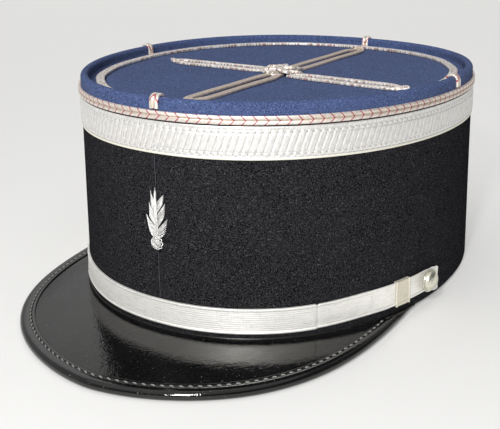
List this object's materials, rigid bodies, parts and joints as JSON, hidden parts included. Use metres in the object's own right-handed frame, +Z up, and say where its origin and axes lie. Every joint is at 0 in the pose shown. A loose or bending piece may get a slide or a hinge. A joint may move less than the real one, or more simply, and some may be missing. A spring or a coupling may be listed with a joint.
{
  "type": "kepi cap",
  "caption": "Stiff oval kepi cap in black cloth with a blue top, silver lace and braid, a bound glossy peak and a false chin strap between buttons.",
  "frame": {"origin": "middle of the footprint, on the surface that the cap lies on", "axes": "+Z up, -Y towards the front of the peak, +X towards the wearer's left; the cap leans 0.75 degrees onto its peak"},
  "size_m": [0.1804, 0.2506, 0.0997],
  "materials": {
    "black_cloth": "napped wool cloth",
    "blue_cloth": "napped wool cloth",
    "silver_lace": "metallic woven lace",
    "silver_braid": "metallic soutache with red flecks",
    "silver_thread": "metallic embroidery",
    "strap_lace": "metallic woven lace",
    "patent_leather": "patent gloss",
    "button_metal": "polished, pale silver gilt"
  },
  "bodies": {
    "root": {"crown_wall": "black_cloth", "crown_top": "blue_cloth", "lace_band": "silver_lace", "crown_braid": "silver_braid", "top_ring_braid": "silver_braid", "braid_tab_front": "silver_braid", "braid_tab_left": "silver_braid", "braid_tab_back": "silver_braid", "braid_tab_right": "silver_braid", "cross_arm_front": "silver_braid", "cross_arm_left": "silver_braid", "cross_arm_back": "silver_braid", "cross_arm_right": "silver_braid", "centre_knot": "silver_braid", "peak": "patent_leather", "peak_binding": "patent_leather", "chin_strap": "strap_lace", "strap_keeper_left": "strap_lace", "strap_keeper_right": "strap_lace", "button_left": "button_metal", "button_right": "button_metal", "flame_badge": "silver_thread"}
  },
  "joints": []
}
